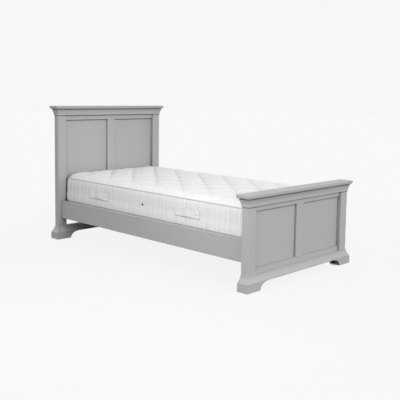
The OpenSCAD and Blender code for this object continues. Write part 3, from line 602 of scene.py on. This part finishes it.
def pillow_form(x, y):
    """The diamond pillows, 0 on their stitches to 1 in their middles, and the top's height over its edge."""
    edge = np.minimum(TOP_HALF_W - np.abs(x), TOP_HALF_L - np.abs(y))
    roll = 1 - (1 - np.minimum(edge / CROWN_RUN, 1)) ** 2.4
    dome = np.sin(np.pi / 2 * np.minimum(edge / DOME_RUN, 1))
    across, along = PILLOWS_ACROSS * x / (2 * TOP_HALF_W), PILLOWS_ALONG * y / (2 * TOP_HALF_L)
    pillow = np.abs(np.cos(np.pi * (across + along)) * np.cos(np.pi * (across - along)))
    height = (CROWN * ((1 - DOME_SHARE) * roll + DOME_SHARE * dome)
              + PILLOW * pillow ** 0.6 * roll * (PILLOW_EDGE_SHARE + (1 - PILLOW_EDGE_SHARE) * dome))
    return pillow, height


def blow_up(obj, sewn):
    """Puffs a closed skin up between its sewn points by cloth simulation, no point further than the cap."""
    mesh = obj.data
    before = np.empty(len(mesh.vertices) * 3)
    mesh.vertices.foreach_get("co", before)
    group = obj.vertex_groups.new(name="sewn")
    for weight in range(1, WEIGHT_STEPS + 1):
        chosen = np.nonzero(np.round(sewn * WEIGHT_STEPS) == weight)[0]
        if len(chosen):
            group.add([int(i) for i in chosen], weight / WEIGHT_STEPS, "REPLACE")
    cloth = obj.modifiers.new("cloth", "CLOTH")
    settings = cloth.settings
    settings.quality = 5
    settings.mass = 0.25
    settings.tension_stiffness = settings.compression_stiffness = 20
    settings.shear_stiffness = 10
    settings.bending_stiffness = 0.6
    settings.air_damping = 4
    settings.use_pressure = True
    settings.uniform_pressure_force = PUFF_PRESSURE
    settings.shrink_min = -PUFF_SLACK
    settings.vertex_group_mass = "sewn"
    settings.effector_weights.gravity = 0
    cloth.collision_settings.use_collision = False
    for number in range(1, PUFF_FRAMES + 1):
        scene.frame_set(number)
    after = np.empty_like(before)
    obj.evaluated_get(bpy.context.evaluated_depsgraph_get()).data.vertices.foreach_get("co", after)
    obj.modifiers.remove(cloth)
    obj.vertex_groups.remove(group)
    scene.frame_set(1)
    shift = (after - before).reshape(-1, 3)
    shift *= np.minimum(1, PUFF_CAP / np.maximum(np.linalg.norm(shift, axis=1), 1e-9))[:, None]
    mesh.vertices.foreach_set("co", (before.reshape(-1, 3) + shift).ravel())
    mesh.update()


def quilted_top():
    """The quilted panel: diamond pillows between rows of stitches, on a crown that rises from the piping."""
    x, y = np.meshgrid(np.linspace(-TOP_HALF_W, TOP_HALF_W, 2 * round(TOP_HALF_W / TOP_STEP) + 1),
                       np.linspace(-TOP_HALF_L, TOP_HALF_L, 2 * round(TOP_HALF_L / TOP_STEP) + 1))
    pillow, height = pillow_form(x, y)
    plan_x, plan_y = in_corner(x, y, CORNER_R - TOP_INSET)
    upper = np.stack([plan_x, plan_y + MID_Y, EDGE_Z + height], -1).reshape(-1, 3)
    rows, columns = x.shape
    last = columns - 1
    rim = np.concatenate([np.arange(last), np.arange(rows - 1) * columns + last,
                          (rows - 1) * columns + np.arange(last, 0, -1),
                          np.arange(rows - 1, 0, -1) * columns])
    lower = upper[rim].copy()
    lower[:, 2] = border_hi.z
    low = len(upper) + np.arange(len(rim))
    skirt = np.stack([rim, low, np.roll(low, -1), np.roll(rim, -1)], -1)
    centre = len(upper) + len(rim)
    fan = [(after, at, centre) for at, after in zip(low, np.roll(low, -1))]
    verts = np.concatenate([upper, lower, [[0, MID_Y, border_hi.z]]])
    obj = build("quilted_top", verts, [*quads(rows, columns), *skirt, *fan], None, top_cloth)
    held = np.ones(len(verts))
    held[:len(upper)] = np.clip(1 - 7 * pillow, 0, 1).ravel()
    held[rim] = 1
    blow_up(obj, held)
    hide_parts("mattress_top")
    return obj


def border_inset(share):
    """How far the border stands in from its fullest plan at a share of its height."""
    if share > 0.5:
        return DRAW_IN * (2 * share - 1) ** 5
    swell = math.sin(math.pi * min(1, 2 * share)) ** 2 * (1 - share)
    return DRAW_IN * (1 - 2 * share) ** 26 - LOW_BULGE * swell


def padded_border():
    """The border: drawn in at both seams, fullest low down, with puckers at the piping."""
    runs = run_length(outline(0))
    low, high = base_hi.z, border_hi.z
    wander = np.random.default_rng(PUCKER_SEED)
    pucker = np.zeros(len(runs))
    for waves in range(40, 120, 7):
        pucker += np.sin(2 * np.pi * waves * runs / runs[-1] + wander.uniform(0, FULL_TURN)) / 12
    rings, heights = [], []
    for share in [0, 0.004, 0.010, 0.020, 0.032, 0.05, *np.linspace(0.08, 0.92, 20), 0.95, 0.97, 0.985, 1]:
        plan = outline(border_inset(share))
        gather = GATHER * (math.exp(-share * GATHER_FADE) + math.exp(-(1 - share) * GATHER_FADE))
        gather *= min(1, GATHER_START * share, GATHER_START * (1 - share))
        plan = plan + outward(plan) * (gather * (pucker - 0.5))[:, None]
        rings.append(at_height(plan, low + (high - low) * share))
        heights.append((high - low) * share)
    for z in (high, low):
        rings.append(at_height(outline(LINING_INSET), z))
        heights.append(z - low)
    obj = ring_mesh("padded_border", rings, runs, heights, border_cloth)
    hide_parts("mattress_border")
    return obj


def piping():
    """Two closed cords in the steps between the panels and the border."""
    plan = outline(PIPE_INSET)
    out = outward(plan)
    angles = [2 * math.pi * k / PIPE_SIDES for k in range(PIPE_SIDES)]
    for name, z in (("upper_piping", SEAM_Z), ("lower_piping", LOW_SEAM_Z)):
        rings = [at_height(plan + out * PIPE_R * math.cos(angle), z + PIPE_R * math.sin(angle))
                 for angle in angles]
        obj = ring_mesh(name, rings, run_length(plan), [PIPE_R * angle for angle in angles], pipe_cloth)
        if name == "upper_piping":
            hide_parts("mattress_piping")
        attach(obj, "mattress")


def block(name, inset, low, high, material):
    """A closed block with the mattress's plan and slightly rounded edges."""
    profile = [(more, z) for more, z in BLOCK_EASE] + [(more, high - low - z) for more, z in BLOCK_EASE[::-1]]
    rings = [at_height(outline(inset + more, BLOCK_STEP), low + z) for more, z in profile]
    verts = np.concatenate(rings)
    uvs = np.column_stack([verts[:, 0] + verts[:, 2], verts[:, 1] + verts[:, 2]])
    return build(name, verts, tube(len(rings), len(rings[0])), uvs, material)


def strap_way(share, length):
    """How far a strap stands off the border and how far it rises, a share along it."""
    flat = STRAP_FLAT / length
    free = np.clip((share - flat) / (1 - 2 * flat), 0, 1)
    return STRAP_LIFT * math.sin(math.pi * free) ** 1.4, STRAP_ARCH * math.sin(math.pi * free) ** 2


def strap(side, lo, hi):
    """One carrying strap: webbing that stands off the border in the middle."""
    length, width = hi.y - lo.y, hi.z - lo.z
    mid_y, mid_z = (lo.y + hi.y) / 2, (lo.z + hi.z) / 2
    face = side * (HALF_W + STRAP_GAP)
    verts, uvs = [], []
    for i in range(STRAP_STEPS + 1):
        share = i / STRAP_STEPS
        lift, arch = strap_way(share, length)
        for j in range(STRAP_SIDES):
            angle = 2 * math.pi * j / STRAP_SIDES
            rise = np.sign(math.cos(angle)) * abs(math.cos(angle)) ** 0.35 * width / 2
            out = (1 + np.sign(math.sin(angle)) * abs(math.sin(angle)) ** 0.6) * STRAP_HALF_T
            verts.append((face + side * (lift + out), mid_y + (share - 0.5) * length, mid_z + rise + arch))
            uvs.append((share * length, rise))
    return np.array(verts), tube(STRAP_STEPS + 1, STRAP_SIDES, flip_ends=True), np.array(uvs)


def thread(points, side):
    """A thin flattened thread along points on one side of the mattress."""
    points = np.array(points, float)
    ahead = np.gradient(points, axis=0)
    ahead /= np.linalg.norm(ahead, axis=1)[:, None]
    out = np.array([side, 0, 0], float)
    verts, uvs = [], []
    for point, beside, run in zip(points, np.cross(ahead, out), run_length(points)):
        for k in range(THREAD_SIDES):
            angle = 2 * math.pi * k / THREAD_SIDES
            verts.append(point + beside * THREAD_R * math.cos(angle)
                         + out * THREAD_R * THREAD_FLATNESS * math.sin(angle))
            uvs.append((run, THREAD_R * angle))
    return np.array(verts), tube(len(points), THREAD_SIDES, flip_ends=True), np.array(uvs)


def stitching(side, lo, hi):
    """White thread on both ends of a strap: a box and two zigzags through it."""
    face = side * (HALF_W + STRAP_GAP + STRAP_FACE)
    low, high = lo.z + STITCH_MARGIN, hi.z - STITCH_MARGIN
    parts = []
    for end, tip in ((-1, lo.y), (1, hi.y)):
        edge = tip - end * STITCH_MARGIN
        inner = edge - end * STITCH_RUN
        box = [(edge, low), (edge, high), (inner, high), (inner, low), (edge, low)]
        zigzag, zagzig = [[(edge + (inner - edge) * k / 4, odd if k % 2 else even) for k in range(5)]
                          for odd, even in ((low, high), (high, low))]
        for route in (box, zigzag, zagzig):
            points = [(face, a[0] + (b[0] - a[0]) * k / STITCH_STEPS, a[1] + (b[1] - a[1]) * k / STITCH_STEPS)
                      for a, b in zip(route, route[1:]) for k in range(STITCH_STEPS)]
            parts.append(thread([*points, (face, *route[-1])], side))
    return parts


def hem(side, lo, hi, height):
    """A thread along one edge of a strap, at a height over its middle."""
    length, mid_z = hi.y - lo.y, (lo.z + hi.z) / 2
    points = []
    for k in range(HEM_STEPS + 1):
        lift, arch = strap_way(k / HEM_STEPS, length)
        points.append((side * (HALF_W + STRAP_GAP + STRAP_FACE + lift), lo.y + k / HEM_STEPS * length,
                       mid_z + height + arch))
    return thread(points, side)


def gauze_discs():
    """Gauze stretched behind the hole of each vent eyelet; its near black is painted shade for the space
    behind the hole.
    """
    middle = (vent_lo + vent_hi) / 2
    parts = []
    for side in (-1, 1):
        verts = []
        for r, out in GAUZE_RINGS:
            for k in range(GAUZE_SIDES):
                angle = 2 * math.pi * k / GAUZE_SIDES
                verts.append((side * (HALF_W + out),
                              middle.y + r * math.cos(angle), middle.z + r * math.sin(angle)))
        faces = tube(len(GAUZE_RINGS), GAUZE_SIDES)
        if side > 0:
            faces = [face[::-1] for face in faces]
        verts = np.array(verts)
        parts.append((verts, faces, verts[:, 1:]))
    obj = build("vent_gauze", *join_parts(parts), gauze)
    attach(obj, "mattress")


top = quilted_top()
border = padded_border()
for obj in (top, border):
    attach(obj, "mattress")
piping()
core = block("felt_and_foam_core", CORE_INSET, base_hi.z + CORE_GAP, border_hi.z - CORE_GAP, core_felt)
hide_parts("mattress_core")
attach(core, "mattress")
base = block("base_panel", TOP_INSET, base_lo.z, base_hi.z, base_cloth)
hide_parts("mattress_base")
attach(base, "mattress")

straps = build("carrying_straps", *join_parts([strap(*handle) for handle in HANDLES]), strap_cloth)
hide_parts("mattress_handles")
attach(straps, "mattress")
crosses = [part for handle in HANDLES for part in stitching(*handle)]
threads = build("strap_stitching", *join_parts(crosses), thread_cloth)
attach(threads, "mattress")
# The lower hems are grey thread whose grey is painted shade for the shadow under each strap
for name, height, cloth in (("strap_upper_hems", HEM_HEIGHT, thread_cloth),
                            ("strap_lower_hems", -HEM_HEIGHT, shaded_hem_cloth)):
    hems = build(name, *join_parts([hem(*handle, height) for handle in HANDLES]), cloth)
    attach(hems, "mattress")
gauze_discs()

# Floor, light and camera
FLOOR_HALF, FLOOR_FADE_FROM, FLOOR_FADE_RUN, FLOOR_REACH = 30, 1.2, 2.2, 0.06
FLOOR_GIVES_BACK, FLOOR_DARK, FLOOR_LIGHT = (0.10, 0.10, 0.10), (0.49, 0.49, 0.49), (0.51, 0.51, 0.51)
WHITE, BACKDROP = (1.0, 1.0, 1.0, 1), (0.93, 0.93, 0.93, 1)
WORLD = 0.72

# Area lamps as (name, place, target, size, power)
LAMPS = [
    ("front", (1.2, -5.0, 1.8), (0.0, -1.0, 0.4), (2.5, 1.6), 42.0),
    ("front_left", (-1.6, -5.4, 1.8), (0.0, -1.0, 0.4), (1.6, 1.4), 74.0),
    ("side_low", (-2.1, -0.8, 1.1), (-0.5, -0.7, 0.4), (0.8, 0.8), 11.8),
    ("side_near", (-1.7, -1.5, 0.9), (-0.5, -0.8, 0.3), (0.6, 0.6), 4.2),
    ("back", (-0.6, 8.0, 2.0), (0.0, 0.0, 0.6), (5.0, 3.0), 145.0),
    ("right", (6.5, 0.0, 2.0), (0.0, 0.0, 0.4), (5.0, 3.0), 81.0),
]

# The camera, solved from the bed's edges in the photo: place, angles in radians, lens in photo pixels
EYE = (-3.37620, -3.49774, 1.15896)
YAW, PITCH, ROLL = 0.8188882, 0.0970943, 0.017
FOCAL_PX, PHOTO_PX, SENSOR_MM = 665.84, 400, 36
SHIFT_X, SHIFT_Y = -0.065, -0.105


def floor():
    """A wide pale floor that looks nearly as bright as the backdrop, with a faint shadow close to the bed,
    partly real and partly painted shadow in the nooks by its feet.

    Only its looks are pale: as a source of light it throws back little.
    """
    net = material_net("floor")
    place = net.coords()
    seen = net.seen()
    far = net.add("VectorMath", {0: place}, operation="LENGTH").outputs["Value"]
    fade = net.math("DIVIDE", net.math("SUBTRACT", far, FLOOR_FADE_FROM), FLOOR_FADE_RUN, clamp=True)
    tint = net.blend(net.noise(place, scale=40.0), FLOOR_DARK, FLOOR_LIGHT)
    net.finish(base_color=net.blend(seen, FLOOR_GIVES_BACK, tint), roughness=0.9, specular_ior_level=0.1)
    # Painted shadow: the floor's glow dims in the nooks close to the bed's feet
    open_air = net.ramp(net.openness(FLOOR_REACH), [(0.10, 0.05), (0.42, 1.0)])
    strength = net.math("MULTIPLY", net.line(fade, -0.03, 0.97), open_air)
    glow = net.add("Emission", {"Color": WHITE, "Strength": strength})
    share = net.math("MULTIPLY", seen, net.line(fade, 0.10, 0.90))
    mix = net.add("MixShader", {0: share, 1: net.shader, 2: glow})
    net.put(net.tree.nodes["Material Output"].inputs[0], mix)
    corners = [(x * FLOOR_HALF, y * FLOOR_HALF, 0) for x, y in ((-1, -1), (1, -1), (1, 1), (-1, 1))]
    obj = build("floor", corners, [(0, 1, 2, 3)], None, net.owner, smooth=False)


def world():
    """Even light from all round, and a pale backdrop for what the camera sees of it."""
    scene.world = bpy.data.worlds.new("studio")
    net = Net(scene.world)
    light = net.tree.nodes["Background"]
    net.put(light.inputs["Color"], WHITE)
    net.put(light.inputs["Strength"], WORLD)
    backdrop = net.add("Background", {"Color": BACKDROP})
    mix = net.add("MixShader", {0: net.seen(), 1: light, 2: backdrop})
    net.put(net.tree.nodes["World Output"].inputs[0], mix)


def lamp(name, place, target, size, power):
    """A rectangular lamp that points at its target and isn't seen by the camera."""
    data = bpy.data.lights.new(name, "AREA")
    data.shape = "RECTANGLE"
    data.size, data.size_y = size
    data.energy = power
    obj = bpy.data.objects.new(name, data)
    obj.location = place
    obj.rotation_euler = (Vector(target) - Vector(place)).to_track_quat("-Z", "Y").to_euler()
    scene.collection.objects.link(obj)
    obj.visible_camera = False


def camera():
    """The photo's camera."""
    eye = bpy.data.objects.new("camera", bpy.data.cameras.new("camera"))
    scene.collection.objects.link(eye)
    scene.camera = eye
    ahead = Vector((math.sin(YAW) * math.cos(PITCH), math.cos(YAW) * math.cos(PITCH), -math.sin(PITCH)))
    level = Vector((math.cos(YAW), -math.sin(YAW), 0))
    lift = level.cross(ahead)
    right = math.cos(ROLL) * level + math.sin(ROLL) * lift
    upward = -math.sin(ROLL) * level + math.cos(ROLL) * lift
    turned = Matrix((right, upward, -ahead)).transposed().to_4x4()
    eye.matrix_world = Matrix.Translation(EYE) @ turned
    eye.data.sensor_width = SENSOR_MM
    eye.data.lens = FOCAL_PX * SENSOR_MM / PHOTO_PX
    eye.data.shift_x, eye.data.shift_y = SHIFT_X, SHIFT_Y
    eye.data.clip_start, eye.data.clip_end = 0.05, 100


floor()
world()
for settings in LAMPS:
    lamp(*settings)
camera()
scene.view_settings.view_transform = "Standard"
